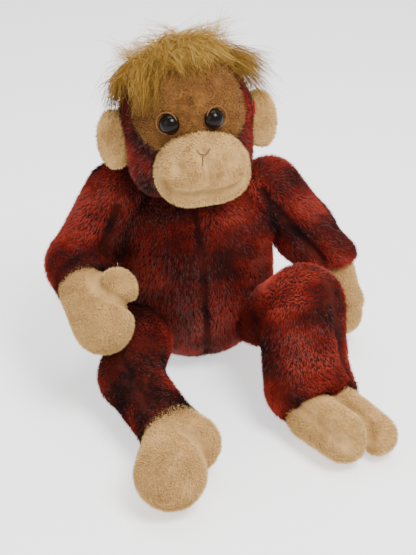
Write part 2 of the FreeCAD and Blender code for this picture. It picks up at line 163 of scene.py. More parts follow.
def trim(field, cutter, edge=3.0):
    """Cuts a field with another one, leaving a soft edge."""

    def trimmed(points):
        kept, cut = field(points), cutter(points)
        share = np.clip(0.5 + 0.5 * (cut - kept) / (edge * MM), 0, 1)
        return kept * (1 - share) + cut * share + edge * MM * share * (1 - share)

    return trimmed


# %% [markdown]
# ## From field to mesh
# A cloth solver wants a closed mesh of even quads. A remesh of joined balls would give that, and so does
# OpenVDB, which turns the sampled field into quads in one step and keeps the folds between parts. The
# grid is a few millimetres wide, about the size of the tightest fold that this fabric can hold.


# %% Skins as meshes
def add_mesh(name, points, faces, smooth=True):
    """A mesh object from arrays of points and of equal-sided faces."""
    mesh = bpy.data.meshes.new(name)
    sides = faces.shape[1]
    mesh.vertices.add(len(points))
    mesh.vertices.foreach_set("co", np.ascontiguousarray(points, np.float32).ravel())
    mesh.loops.add(faces.size)
    mesh.loops.foreach_set("vertex_index", np.ascontiguousarray(faces, np.int32).ravel())
    mesh.polygons.add(len(faces))
    mesh.polygons.foreach_set("loop_start", np.arange(0, faces.size, sides, dtype=np.int32))
    mesh.polygons.foreach_set("use_smooth", np.full(len(faces), smooth))
    mesh.update(calc_edges=True)
    thing = bpy.data.objects.new(name, mesh)
    bpy.context.scene.collection.objects.link(thing)
    return thing


BODY_GRID, LOBE_GRID, EAR_GRID, FACE_GRID = 4.5, 3.2, 2.5, 1.8
BAND = 3


def skin(name, field, low, high, grid=BODY_GRID):
    """The closed surface of a field, inside a box given by two corners, BAND cells larger all round."""
    step = grid * MM
    low = np.asarray(low) - BAND * step
    counts = np.ceil((np.asarray(high) + BAND * step - low) / step).astype(int)
    cells = np.stack(np.meshgrid(*[np.arange(n) for n in counts], indexing="ij"), -1)
    values = np.asarray(field(low + cells * step) / step, np.float32)
    volume = openvdb.FloatGrid(float(BAND))
    volume.copyFromArray(np.clip(values, -BAND, BAND))
    points, quads = volume.convertToQuads()
    thing = add_mesh(name, low + points * step, quads[:, ::-1])
    if signed_volume(thing) < 0:
        thing.data.flip_normals()
    return thing


def coordinates(thing):
    """The points of a mesh as an array."""
    flat = np.empty(len(thing.data.vertices) * 3, np.float32)
    thing.data.vertices.foreach_get("co", flat)
    return flat.reshape(-1, 3).astype(float)


def set_coordinates(thing, points):
    """Moves the points of a mesh."""
    thing.data.vertices.foreach_set("co", np.asarray(points, np.float32).ravel())
    thing.data.update()


def triangles(thing):
    """The corner numbers of a mesh's triangles."""
    thing.data.calc_loop_triangles()
    flat = np.empty(len(thing.data.loop_triangles) * 3, np.int32)
    thing.data.loop_triangles.foreach_get("vertices", flat)
    return flat.reshape(-1, 3)


def normals(thing):
    """The outward direction at each point of a mesh."""
    flat = np.empty(len(thing.data.vertices) * 3, np.float32)
    thing.data.vertex_normals.foreach_get("vector", flat)
    return flat.reshape(-1, 3).astype(float)


def signed_volume(thing):
    """Positive when the faces of a closed mesh point outwards."""
    corners = coordinates(thing)[triangles(thing)]
    return np.einsum("ij,ij->i", corners[:, 0], np.cross(corners[:, 1], corners[:, 2])).sum() / 6


# %% [markdown]
# ## The body's outline
# Each limb is a sewn tube bent at its joints, and ends in a cream mitt with one big lobe and a thumb or a
# toe. A tube swept along a curve would pinch at the bends, so each limb is a few sausages that melt into
# each other, from joint to joint. Radii are those of the fabric under the pile, and places are in
# millimetres from the joint.

# %% Limb outlines
LOBE_FOLD = 2.0

# chain: the joints along the limb, with the fabric's radius at each one; shift: how far the tube's middle
# is from each joint; swell: a second sausage beside the shin; cuff: the direction and distance of the
# sleeve's end from the last joint; lobes: root, tip, root radius and tip radius; lobe_fold: how softly
# the lobes meet
LIMBS = {
    "right_arm": {
        "chain": ("right_shoulder", "right_elbow", "right_wrist"),
        "radii": (24.5, 24, 23),
        "cuff": ((0.10, -0.95, -0.30), -2),
        "lobes": [((-1, 0, 0), (7, -34, -11), 22, 22), ((9, -9, 5), (18.5, -18, 9), 14, 15.5)],
    },
    "left_arm": {
        "chain": ("left_shoulder", "left_elbow", "left_wrist"),
        "radii": (24.5, 24, 21),
        "cuff": ((0.2, -0.1, -0.97), -9),
        "lobes": [((0, 0, 0), (8, -4, -40), 17, 17), ((4, -4, -6), (14, -14, -22), 10, 10)],
    },
    "right_leg": {
        "chain": ("right_hip", "right_knee", "right_ankle"),
        "shift": ((0, 0, 0), (6, 0, 2), (3, 0, 0)),
        "radii": (25, 22.5, 20.5),
        "cuff": ((0.45, -0.89, 0.0), 20),
        "lobes": [((0, 0, 0), (-7, -50, 2), 18, 24.5), ((3, -4, 3), (12, -18, 3), 19, 20)],
        "lobe_fold": 6.0,
    },
    "left_leg": {
        "chain": ("left_hip", "left_knee", "left_ankle"),
        "shift": ((2, 0, 2), (0, 0, 0), (0, 0, 0)),
        "radii": (22, 29, 27),
        "swell": ((-7, -1, -12), (-10, -2, 2), 26, 27),
        "cuff": ((0.35, -0.9, -0.25), 21),
        "lobes": [((8, 0, -4), (37, -50, -13), 14, 14.5), ((-6, -24, -9), (11, -55, -9), 18.5, 18)],
    },
}
NO_SHIFT = ((0, 0, 0),) * 3


def limb_fields(limb):
    """The fields of a limb's sleeve and of its cream mitt."""
    offsets = limb.get("shift", NO_SHIFT)
    places = [JOINT[name] + np.array(offset) * MM for name, offset in zip(limb["chain"], offsets)]
    end = places[-1]
    outward, reach = limb["cuff"]
    cuff = end + unit(outward) * reach * MM
    radii = limb["radii"]
    parts = [sausage(places[i], places[i + 1], radii[i], radii[i + 1]) for i in range(len(places) - 1)]
    parts.append(sausage(end, cuff, radii[-1], radii[-1]))
    if "swell" in limb:
        above, below, above_radius, below_radius = limb["swell"]
        ends = places[1] + np.array(above) * MM, end + np.array(below) * MM
        parts.append(sausage(*ends, above_radius, below_radius))
    sleeve = trim(melt(*parts), half_space(cuff, outward))
    lobes = []
    for root, tip, root_radius, tip_radius in limb["lobes"]:
        lobes.append(sausage(end + np.array(root) * MM, end + np.array(tip) * MM, root_radius, tip_radius))
    return sleeve, lobes


FIELDS = {}
LOBES = {}
for limb_name, limb in LIMBS.items():
    FIELDS[limb_name + "_sleeve"], LOBES[limb_name] = limb_fields(limb)
    FIELDS[limb_name + "_mitt"] = melt(*LOBES[limb_name], width=limb.get("lobe_fold", LOBE_FOLD))
print(len(FIELDS), "limb outlines")

# %% [markdown]
# ## The outline of body and head
# The body is one pear-shaped bag with a soft bar of stuffing across the shoulders and a wide seat. The
# head is a ball with two full cheeks, and the muzzle is a wide padded oval with two lips. Eggs that melt
# into each other give these fullnesses without a single hard edge, and each egg is easy to move alone.

# %% Body and head outlines
SEAT = 0.3 * MM
SEAT_TRIM = 1.5 * MM
SHOULDER_RADIUS = 21
SEAT_RADII = (60, 47, 48)
BODY_FOLD = 14.0
NECK_RADIUS = 27
TORSO_RADII = (62, 51, 79)
TORSO_MIDDLE = box_middle("torso_cover") + np.array([1, 2, 3.5]) * MM
UNDER_SHOULDER = np.array([0, -2, -19]) * MM
INWARDS = np.array([12, 0, 0]) * MM
SEAT_FULLNESS = np.array([0, 3, -31]) * MM
FIELDS["torso"] = trim(
    melt(
        egg(TORSO_MIDDLE, TORSO_RADII),
        sausage(
            JOINT["right_shoulder"] + UNDER_SHOULDER + INWARDS,
            JOINT["left_shoulder"] + UNDER_SHOULDER - INWARDS,
            SHOULDER_RADIUS, SHOULDER_RADIUS,
        ),
        egg(TORSO_MIDDLE + SEAT_FULLNESS, SEAT_RADII),
        width=BODY_FOLD,
    ),
    half_space(np.array([0, 0, SEAT_TRIM]), (0, 0, -1)),
)
FIELDS["neck"] = sausage(JOINT["neck_turn"], JOINT["neck_turn"], NECK_RADIUS, NECK_RADIUS)
HEAD_RADII = (49, 47, 53)
FIELDS["head"] = melt(
    egg(HEAD_MIDDLE, HEAD_RADII, HEAD_AXES),
    egg(on_head(-28, -8, -30), (19, 26, 25), HEAD_AXES),
    egg(on_head(26, -8, -30), (18, 26, 25), HEAD_AXES),
)
MUZZLE_MIDDLE = on_head(-1.5, -41, -32)
MUZZLE_RADII = (33, 23, 27)
LIP_RADII = (20, 20, 19)
FIELDS["muzzle"] = melt(
    egg(MUZZLE_MIDDLE, MUZZLE_RADII, HEAD_AXES),
    egg(on_head(-14, -45, -38), LIP_RADII, HEAD_AXES),
    egg(on_head(12, -45, -38), LIP_RADII, HEAD_AXES),
)
print(len(FIELDS), "outlines")

# %% [markdown]
# ## Making the skins
# Each outline becomes one closed skin. The muzzle and the mitts have the smallest folds, so they get a
# finer grid. We could mesh everything that finely, but the cloth solver would take much longer.

# %% Make the skins
LIMB_ROOM = 32 * MM
BODY_ROOM = 95 * MM
FINE_SKINS = ("muzzle", "right_arm_mitt", "right_leg_mitt", "left_leg_mitt")
MIDDLES = {"torso": TORSO_MIDDLE, "neck": JOINT["neck_turn"], "head": HEAD_MIDDLE, "muzzle": MUZZLE_MIDDLE}

skins = {}
for name, field in FIELDS.items():
    if name.endswith(("sleeve", "mitt")):
        limb = LIMBS[name.rsplit("_", 1)[0]]
        places = [JOINT[joint] for joint in limb["chain"]]
        places += [places[-1] + np.array(lobe[1]) * MM for lobe in limb["lobes"]]
        low, high = np.min(places, 0) - LIMB_ROOM, np.max(places, 0) + LIMB_ROOM
    else:
        low, high = MIDDLES[name] - BODY_ROOM, MIDDLES[name] + BODY_ROOM
    skins[name] = skin(name, field, low, high, LOBE_GRID if name in FINE_SKINS else BODY_GRID)
print(len(skins), "skins")

# %% [markdown]
# ## Ears
# Each ear is a small padded disc, hollow in front like a real ear and sewn to the side of the head. An egg
# with a smaller egg taken out of its front gives the padded rim, and a second egg makes the sewn root.

# %% Ear skins
EAR_RADII = (12.0, 7.5, 22.0)
EAR_ROOT_RADII = (10, 7, 18)
EAR_BOWL_RADII = (7, 4.5, 14)
EAR_BOWL_FORWARD = 7.5 * MM
EAR_RIM = 5.0
EAR_ROOM = 35 * MM
EAR_ROOT_SIDE, EAR_ROOT_BACK, EAR_ROOT_UP = 40, 4, -9
for side in ("right", "left"):
    middle = box_middle(side + "_ear")
    towards = -1 if side == "right" else 1
    root = on_head(EAR_ROOT_SIDE * towards, EAR_ROOT_BACK, EAR_ROOT_UP)
    ear = melt(
        egg(middle, EAR_RADII, HEAD_AXES),
        egg(middle + (root - middle) / 2, EAR_ROOT_RADII, HEAD_AXES),
    )
    bowl = egg(middle - HEAD_BACK * EAR_BOWL_FORWARD, EAR_BOWL_RADII, HEAD_AXES)
    FIELDS[side + "_ear"] = trim(ear, lambda points, bowl=bowl: -bowl(points), edge=EAR_RIM)
    skins[side + "_ear"] = skin(
        side + "_ear", FIELDS[side + "_ear"], middle - EAR_ROOM, middle + EAR_ROOM, EAR_GRID
    )
for name, thing in skins.items():
    print(f"{name}: {len(thing.data.polygons)} quads, {signed_volume(thing) * 1e6:.0f} cm3")

# %% [markdown]
# ## Seams and folds
# A seam is sewn tight, so the fabric sinks along it and the stuffing swells between. The body is sewn down
# its middle, front and back. Each limb has one seam along its length, on the side that we name by a
# direction. Hands and feet crease where two lobes meet, and the mouth is a curved seam low on the muzzle.
# We could draw each seam by hand, but a seam worked out from the body's shape follows when the body changes.

# %% Where the seams run
SEAM_STEPS = 7
LIMB_SEAM_REACH = 25.0
SOLE_SEAM_REACH = 19.0
TORSO_SEAM_ARC = (68, -62)
MOUTH_HALF_WIDTH, MOUTH_DROP, MOUTH_ARC = 31.0, 15.0, 78
NOSE_CREASE_RISE, NOSE_CREASE_DROP = 2.0, 18.0
DIMPLE_SIDE, DIMPLE_RISE, DIMPLE_LENGTH = 20.0, 5.0, 1.0


def down_the_body(facing, top_side, bottom_side):
    """A seam down the front (-1) or back (1) of the torso, given how far aside it is at both ends."""
    angle = np.radians(np.linspace(*TORSO_SEAM_ARC, SEAM_STEPS))
    side = np.linspace(top_side, bottom_side, SEAM_STEPS)
    around = [side, facing * TORSO_RADII[1] * np.cos(angle), TORSO_RADII[2] * np.sin(angle)]
    return TORSO_MIDDLE + np.stack(around, 1) * MM


def along_places(places, first, last, start_side, end_side, reach):
    """A line beside some places, counted 0, 1, 2..., on the side that the two directions point to."""
    count = np.linspace(first, last, SEAM_STEPS)
    numbers = np.arange(len(places))
    centre = np.stack([np.interp(count, numbers, column) for column in np.array(places).T], 1)
    return centre + unit(np.linspace(start_side, end_side, SEAM_STEPS)) * reach * MM


def along_limb(limb_name, first, last, start_side, end_side):
    """A seam along a limb, from one joint number to another."""
    places = [JOINT[name] for name in LIMBS[limb_name]["chain"]]
    return along_places(places, first, last, start_side, end_side, LIMB_SEAM_REACH)


def along_lobe(limb_name, number, start_side, end_side):
    """A seam along one lobe of a mitt."""
    end = JOINT[LIMBS[limb_name]["chain"][-1]]
    root, tip = LIMBS[limb_name]["lobes"][number][:2]
    places = [end + np.array(root) * MM, end + np.array(tip) * MM]
    return along_places(places, 0, 1, start_side, end_side, SOLE_SEAM_REACH)


def on_muzzle(side, up):
    """A place on the front of the muzzle, in millimetres from its middle."""
    forward = 1 - (side / MUZZLE_RADII[0]) ** 2 - (up / MUZZLE_RADII[2]) ** 2
    back = -MUZZLE_RADII[1] * math.sqrt(max(forward, 0))
    return MUZZLE_MIDDLE + np.array([side, back, up]) * MM @ HEAD_AXES


NOSE_SIDE, _, NOSE_UP = HEAD_AXES @ (box_middle("nose_stitch") - MUZZLE_MIDDLE) / MM
mouth_angles = np.radians(np.linspace(-MOUTH_ARC, MOUTH_ARC, SEAM_STEPS))
LINES = {
    "belly": down_the_body(-1, -6, 6),
    "back": down_the_body(1, -2, -2),
    "right_elbow": along_limb("right_arm", 0.1, 1.4, (0.1, -1, 0.2), (0.8, -0.5, 0.7)),
    "left_elbow": along_limb("left_arm", 0.0, 1.5, (-0.4, -0.85, 0.3), (-0.1, -1, 0.1)),
    "right_thigh": along_limb("right_leg", 0.7, 1.7, (0, 0, 1), (-0.35, -0.35, 0.8)),
    "left_shin": along_limb("left_leg", 0.9, 1.9, (0.5, -0.4, 0.8), (0.85, -0.6, 0.2)),
    "left_sole": along_lobe("left_leg", 1, (-0.6, -0.2, 0.6), (0.1, -1, 0.1)),
    "mouth": [on_muzzle(MOUTH_HALF_WIDTH * math.sin(a), -MOUTH_DROP * math.cos(a)) for a in mouth_angles],
    "nose": [on_muzzle(NOSE_SIDE, NOSE_UP + rise) for rise in (NOSE_CREASE_RISE, 0, -NOSE_CREASE_DROP)],
    "right_dimple": [on_muzzle(-DIMPLE_SIDE, DIMPLE_RISE - drop) for drop in (0, DIMPLE_LENGTH)],
    "left_dimple": [on_muzzle(DIMPLE_SIDE, DIMPLE_RISE - drop) for drop in (0, DIMPLE_LENGTH)],
}
LINES = {name: np.array(places) for name, places in LINES.items()}

# crease: (limb whose two lobes meet, direction of the side that is creased)
CREASES = {
    "right_palm": ("right_arm", (0, -0.3, 1)),
    "right_toe": ("right_leg", (1, -1, -0.3)),
    "left_toe": ("left_leg", (0, -1, 0.2)),
}
CREASE_REACH = 1.5
print(len(LINES), "seams and", len(CREASES), "creases")

# %% [markdown]
# ## Laying the seams on the skins
# A worked-out line floats near the fabric. Blender could shrink-wrap a curve onto the mesh. Here each point
# of the line simply falls onto the nearest points of the skin, which also works for a crease, whose points
# have no order.


# %% Lay the seams
def smooth_line(places, steps=12):
    """Points along a smooth line through the places."""
    padded = np.vstack([2 * places[0] - places[1], places, 2 * places[-1] - places[-2]])
    t = np.linspace(0, 1, steps, endpoint=False)[:, None]
    pieces = []
    for a, b, c, d in zip(padded, padded[1:], padded[2:], padded[3:]):
        bend = (2 * a - 5 * b + 4 * c - d) * t**2 + (3 * b - a - 3 * c + d) * t**3
        pieces.append(0.5 * (2 * b + (c - a) * t + bend))
    return np.vstack(pieces + [places[-1:]])


LAY_NEIGHBOURS = 4
LAY_SOFTNESS = 1 * MM


def laid_on(thing, places):
    """A smooth line through the places, dropped onto the nearest points of a skin."""
    points = coordinates(thing)
    dropped = []
    for place in smooth_line(places):
        distance = np.linalg.norm(points - place, axis=1)
        nearest = np.argsort(distance)[:LAY_NEIGHBOURS]
        weight = 1 / (distance[nearest] - distance[nearest[0]] + LAY_SOFTNESS)
        dropped.append((points[nearest] * weight[:, None]).sum(0) / weight.sum())
    return np.array(dropped)


def distance_to_line(points, line):
    """How far each point is from the nearest point of a line."""
    nearest = np.full(len(points), np.inf)
    for place in line:
        nearest = np.minimum(nearest, np.linalg.norm(points - place, axis=1))
    return nearest


def meeting_points(thing, limb_name, towards):
    """The points of a skin where the two lobes of its mitt meet."""
    points = coordinates(thing)
    first, second = (lobe(points) for lobe in LOBES[limb_name])
    near = np.abs(first - second) < CREASE_REACH * MM
    return points[near & ((points - points.mean(0)) @ unit(towards) > 0)]


# seam: (skin that it is on, depth in mm, half width in mm)
SEAMS = {
    "belly": ("torso", 5.0, 3.6),
    "back": ("torso", 4.0, 3.6),
    "right_elbow": ("right_arm_sleeve", 5.0, 4.5),
    "left_elbow": ("left_arm_sleeve", 5.0, 4.5),
    "right_thigh": ("right_leg_sleeve", 4.0, 3.6),
    "left_shin": ("left_leg_sleeve", 3.0, 3.6),
    "right_palm": ("right_arm_mitt", 2.6, 3.6),
    "right_toe": ("right_leg_mitt", 2.0, 3.0),
    "left_sole": ("left_leg_mitt", 1.5, 2.5),
    "left_toe": ("left_leg_mitt", 3.0, 4.0),
    "mouth": ("muzzle", 5.0, 3.8),
    "nose": ("muzzle", 3.5, 3.2),
    "right_dimple": ("muzzle", 4.0, 5.0),
    "left_dimple": ("muzzle", 4.0, 5.0),
}


def seam_path(name):
    """A seam's points on its skin: a line laid on it, or where two lobes meet."""
    thing = skins[SEAMS[name][0]]
    if name in CREASES:
        return meeting_points(thing, *CREASES[name])
    return laid_on(thing, LINES[name])


seam_paths = {name: seam_path(name) for name in SEAMS}
for name, path in seam_paths.items():
    print(f"{name}: {len(path)} points on the skin")

# %% [markdown]
# ## Puffing the fabric
# The covers were sewn flat and then filled, so the cloth is stretched round from inside and held back
# along the seams. We could swell the skins along their normals, but then the seams would swell too. A
# cloth simulation with a little inner pressure and pinned seams swells only what is free to move.

# %% Puff
PUFF_PRESSURE = 4.0
PUFF_FRAMES = 20
PUFF_LIMIT = 2.0 * MM
PUFF_QUALITY = 5
CLOTH_MASS = 0.05
CLOTH_STIFFNESS = 6
PIN_REACH = 4 * MM


def pin_seams(thing, paths):
    """Marks the points near seams, which the cloth solver holds still."""
    group = thing.vertex_groups.new(name="seams")
    points = coordinates(thing)
    for path in paths:
        near = np.flatnonzero(distance_to_line(points, path) < PIN_REACH)
        group.add(near.tolist(), 1.0, "REPLACE")
    return group.name


def puff_all(things):
    """Inflates every skin at once and caps how far any point may move."""
    rest = {}
    for name, thing in things.items():
        rest[name] = coordinates(thing)
        paths = [seam_paths[seam] for seam, row in SEAMS.items() if row[0] == name]
        cloth = thing.modifiers.new("Puff", "CLOTH")
        cloth.settings.quality = PUFF_QUALITY
        cloth.settings.mass = CLOTH_MASS
        cloth.settings.tension_stiffness = CLOTH_STIFFNESS
        cloth.settings.compression_stiffness = CLOTH_STIFFNESS
        cloth.settings.use_pressure = True
        cloth.settings.uniform_pressure_force = PUFF_PRESSURE
        cloth.settings.effector_weights.gravity = 0
        cloth.settings.vertex_group_mass = pin_seams(thing, paths)
        cloth.point_cache.frame_start = 1
        cloth.point_cache.frame_end = PUFF_FRAMES
    scene = bpy.context.scene
    for number in range(1, PUFF_FRAMES + 1):
        scene.frame_set(number)
    graph = bpy.context.evaluated_depsgraph_get()
    for name, thing in things.items():
        flat = np.empty(len(rest[name]) * 3, np.float32)
        thing.evaluated_get(graph).data.vertices.foreach_get("co", flat)
        move = flat.reshape(-1, 3) - rest[name]
        move -= move.mean(0)
        length = np.linalg.norm(move, axis=1, keepdims=True)
        capped = move * np.minimum(1, PUFF_LIMIT / np.maximum(length, 1e-9))
        thing.modifiers.clear()
        set_coordinates(thing, rest[name] + capped)
        print(f"{name}: puffed by up to {length.max() / MM:.1f} mm, kept to {PUFF_LIMIT / MM:.0f} mm")
    scene.frame_set(1)


puff_all(skins)

# %% [markdown]
# ## Sinking the seams
# Thread pulls the fabric in along a seam. A crease could be painted as bump, but a real hollow catches
# shadow from every side, so we refine the skins once and push their points in along each seam.


# %% Sink the seams
def subdivide(thing):
    """Halves the quads of a skin, with smoothing."""
    finer = thing.modifiers.new("Finer", "SUBSURF")
    finer.levels = 1
    graph = bpy.context.evaluated_depsgraph_get()
    mesh = bpy.data.meshes.new_from_object(thing.evaluated_get(graph))
    thing.modifiers.clear()
    thing.data = mesh


def groove(thing, path, depth, width):
    """Pushes a skin in along a path, and gives the path at the bottom of the groove."""
    points, outward = coordinates(thing), normals(thing)
    inward = [-outward[np.argmin(np.linalg.norm(points - place, axis=1))] for place in path]
    pull = np.exp(-((distance_to_line(points, path) / (width * MM)) ** 2))
    set_coordinates(thing, points - outward * (pull * depth * MM)[:, None])
    return path + np.array(inward) * depth * MM


for thing in skins.values():
    subdivide(thing)
for name, (skin_name, depth, width) in SEAMS.items():
    seam_paths[name] = groove(skins[skin_name], seam_path(name), depth, width)
for thing in skins.values():
    points = coordinates(thing)
    points[:, 2] = np.maximum(points[:, 2], SEAT)
    set_coordinates(thing, points)
print(sum(len(thing.data.polygons) for thing in skins.values()), "quads in all skins")

# %% [markdown]
# ## Cloth colours
# Under the pile is a knitted backing. It shows in the seams and between the tufts. The red backing is much
# darker than its pile, and the cream one darker than its own: partly their own colour, partly painted
# shade for the shade that falls in the seams and deep in the pile, without which the seams would vanish.
# A plain colour would look like plastic where it shows, so each backing has broad blotches, finer
# mottling and a little bump, in the object's own coordinates.


# %% Materials
CLOTH_SPECULAR = 0.12
SPECK_SHARE = 0.35
DARK_END, LIGHT_END = 0.5, 0.85
KNIT_BUMP, KNIT_DEPTH = 0.3, 0.6 * MM


def node(tree, kind, **values):
    """Adds a shader node and sets its inputs by name."""
    made = tree.nodes.new(kind)
    for key, value in values.items():
        made.inputs[key.replace("_", " ")].default_value = value
    return made


def plain(name, colour, roughness=0.85):
    """A material of one colour."""
    material = bpy.data.materials.new(name)
    material.use_nodes = True
    shader = material.node_tree.nodes["Principled BSDF"]
    shader.inputs["Base Color"].default_value = (*colour, 1)
    shader.inputs["Roughness"].default_value = roughness
    shader.inputs["Specular IOR Level"].default_value = CLOTH_SPECULAR
    return material


def mottled(name, dark, light, blotch_size, fine_size):
    """A cloth that goes from a dark to a light colour in blotches."""
    material = plain(name, light, 0.95)
    tree = material.node_tree
    shader = tree.nodes["Principled BSDF"]
    place = tree.nodes.new("ShaderNodeTexCoord")
    blotches = node(tree, "ShaderNodeTexNoise", Scale=1 / (blotch_size * MM), Detail=3.0)
    specks = node(tree, "ShaderNodeTexNoise", Scale=1 / (fine_size * MM), Detail=2.0)
    mix = tree.nodes.new("ShaderNodeMath")
    mix.operation = "MULTIPLY_ADD"
    mix.inputs[1].default_value = SPECK_SHARE
    ramp = tree.nodes.new("ShaderNodeValToRGB")
    ramp.color_ramp.elements[0].position = DARK_END
    ramp.color_ramp.elements[0].color = (*dark, 1)
    ramp.color_ramp.elements[1].position = LIGHT_END
    ramp.color_ramp.elements[1].color = (*light, 1)
    lift = node(tree, "ShaderNodeBump", Strength=KNIT_BUMP, Distance=KNIT_DEPTH)
    for texture in (blotches, specks):
        tree.links.new(place.outputs["Object"], texture.inputs["Vector"])
    tree.links.new(specks.outputs["Fac"], mix.inputs[0])
    tree.links.new(blotches.outputs["Fac"], mix.inputs[2])
    tree.links.new(mix.outputs[0], ramp.inputs["Fac"])
    tree.links.new(ramp.outputs["Color"], shader.inputs["Base Color"])
    tree.links.new(specks.outputs["Fac"], lift.inputs["Height"])
    tree.links.new(lift.outputs["Normal"], shader.inputs["Normal"])
    return material


# Painted shade: the red and cream backings are kept dark partly to stand for the shade in seams and between
# tufts.
RED_CLOTH_AND_PAINTED_SHADE = mottled("red_cloth_and_painted_shade", (0.010, 0.003, 0.003), (0.072, 0.009, 0.005), 24, 2.5)
CREAM_CLOTH_AND_PAINTED_SHADE = mottled("cream_cloth_and_painted_shade", (0.30, 0.17, 0.06), (0.46, 0.28, 0.11), 12, 1.5)
BROWN_CLOTH = mottled("brown_cloth", (0.11, 0.04, 0.01), (0.20, 0.085, 0.02), 9, 1.5)
print("three backings")

# %% [markdown]
# ## Pile colours
# Every pile is dyed in shades from dark to light. One material could vary its colour along each strand,
# but a few plain materials for each pile export without loss, and each strand picks one by its place.

# %% Shades of pile
RED_PILE = [
    (0.010, 0.004, 0.004),
    (0.026, 0.005, 0.004),
    (0.060, 0.007, 0.005),
    (0.115, 0.009, 0.006),
    (0.180, 0.011, 0.007),
    (0.255, 0.016, 0.009),
    (0.330, 0.025, 0.014),
    (0.420, 0.050, 0.032),
]
FROST = (0.165, 0.070, 0.060)
CREAM_PILE = [
    # The darkest cream shade is painted shade, used mostly along seams and where parts meet.
    (0.30, 0.155, 0.05),
    (0.53, 0.32, 0.12),
    (0.63, 0.395, 0.155),
    (0.71, 0.46, 0.185),
    (0.78, 0.52, 0.22),
    (0.85, 0.61, 0.28),
]
BROWN_PILE = [
    (0.100, 0.042, 0.013),
    (0.195, 0.092, 0.028),
    (0.265, 0.137, 0.048),
    (0.370, 0.210, 0.085),
]
HAIR_PILE = [
    (0.150, 0.070, 0.010),
    (0.240, 0.118, 0.018),
    (0.340, 0.180, 0.030),
    (0.450, 0.260, 0.050),
    (0.560, 0.350, 0.085),
    (0.650, 0.450, 0.150),
]


def palette(name, colours, roughness=0.8):
    """One plain material for each shade of a pile."""
    return [plain(f"{name}_{i}", colour, roughness) for i, colour in enumerate(colours)]


RED_SHADES = palette("red_pile", RED_PILE + [FROST])
CREAM_SHADES = palette("cream_pile", CREAM_PILE)
BROWN_SHADES = palette("brown_pile", BROWN_PILE)
HAIR_ROUGHNESS = 0.55
HAIR_SHADES = palette("hair", HAIR_PILE, HAIR_ROUGHNESS)
print(len(bpy.data.materials), "materials")

# %% [markdown]
# ## Growing the pile
# Plush pile is thousands of short fibres standing on a knit backing. Each tuft here is a thin, closed,
# three-sided spike that leans the way the pile is brushed. Hair curves would be lighter, but spikes keep
# their shape in every export. Tufts near a seam are shorter, because the seam holds them down, and none
# grows where two parts press together.


# %% Strands
def blotchiness(points, blotch_size, seed, waves=9):
    """Smooth random values, about -1 to 1, that change over the given millimetres."""
    rng = np.random.default_rng(seed)
    total = np.zeros(len(points))
    for _ in range(waves):
        direction = unit(rng.normal(size=3))
        length = blotch_size * MM * rng.uniform(0.7, 1.7)
        total += np.sin(points @ direction * (2 * math.pi / length) + rng.uniform(0, 2 * math.pi))
    return total / math.sqrt(waves)


def spikes(name, lines, widths, shade, shades):
    """Closed three-sided strands along lines, each of one shade."""
    count, steps, _ = lines.shape
    along = unit(np.gradient(lines, axis=1))
    helper = unit(np.cross(along[:, :1], np.array([0.31, 0.52, 0.79])))
    across = unit(helper - along * np.sum(helper * along, -1, keepdims=True))
    other = np.cross(along, across)
    angles = np.arange(3) * 2 * math.pi / 3
    around = across[:, :-1, None] * np.cos(angles)[:, None] + other[:, :-1, None] * np.sin(angles)[:, None]
    rings = lines[:, :-1, None] + around * widths[:, :-1, None, None] / 2
    points = np.concatenate([rings.reshape(count, -1, 3), lines[:, -1:]], 1)
    points[..., 2] = np.maximum(points[..., 2], SEAT)
    pattern = [(2, 1, 0)]
    for ring in range(steps - 2):
        for side in range(3):
            a, b = 3 * ring + side, 3 * ring + (side + 1) % 3
            pattern += [(a, b, b + 3), (a, b + 3, a + 3)]
    last, tip = 3 * (steps - 2), 3 * (steps - 1)
    pattern += [(last + side, last + (side + 1) % 3, tip) for side in range(3)]
    pattern = np.array(pattern)
    faces = (np.arange(count)[:, None, None] * points.shape[1] + pattern).reshape(-1, 3)
    thing = add_mesh(name, points.reshape(-1, 3), faces)
    for material in shades:
        thing.data.materials.append(material)
    thing.data.polygons.foreach_set("material_index", np.repeat(shade, len(pattern)).astype(np.int32))
    return thing


def roots_on(thing, density, rng):
    """Random places on a skin, with the outward direction at each."""
    corners, faces, outward = coordinates(thing), triangles(thing), normals(thing)
    a, b, c = (corners[faces[:, i]] for i in range(3))
    areas = np.linalg.norm(np.cross(b - a, c - a), axis=1) / 2
    count = int(areas.sum() / MM**2 * density)
    chosen = rng.choice(len(faces), count, p=areas / areas.sum())
    u, v = rng.random(count), rng.random(count)
    flip = u + v > 1
    u, v = np.where(flip, 1 - u, u), np.where(flip, 1 - v, v)
    weights = np.stack([1 - u - v, u, v], 1)[..., None]
    places = (corners[faces[chosen]] * weights).sum(1)
    return places, unit((outward[faces[chosen]] * weights).sum(1))


COVERED_ROOT = 3 * MM
FLOOR_FACING, FLOOR_ROOM = -0.9, 2 * MM
WANDER = 0.32
LENGTH_SPREAD = (0.7, 1.15)
WIDTH_SPREAD = (0.7, 1.2)
LEAN_SPREAD = 0.12
ROOT_DEPTH = 0.4
SEAM_TRIM, SEAM_SHORTEST = 8 * MM, 0.25
# Painted shade where a skin meets another part: how far it reaches and how much darker the pile gets.
FOLD_REACH = 4 * MM
FOLD_PAINTED_SHADE = 0.30
# Painted shade along seams: how much darker the pile gets there, less on cream pile.
SEAM_PAINTED_SHADE = 0.9
CREAM_SEAM_PAINTED_SHADE = 0.4
SHADE_NOISE = 0.08
SEAM_REACH = 3.3


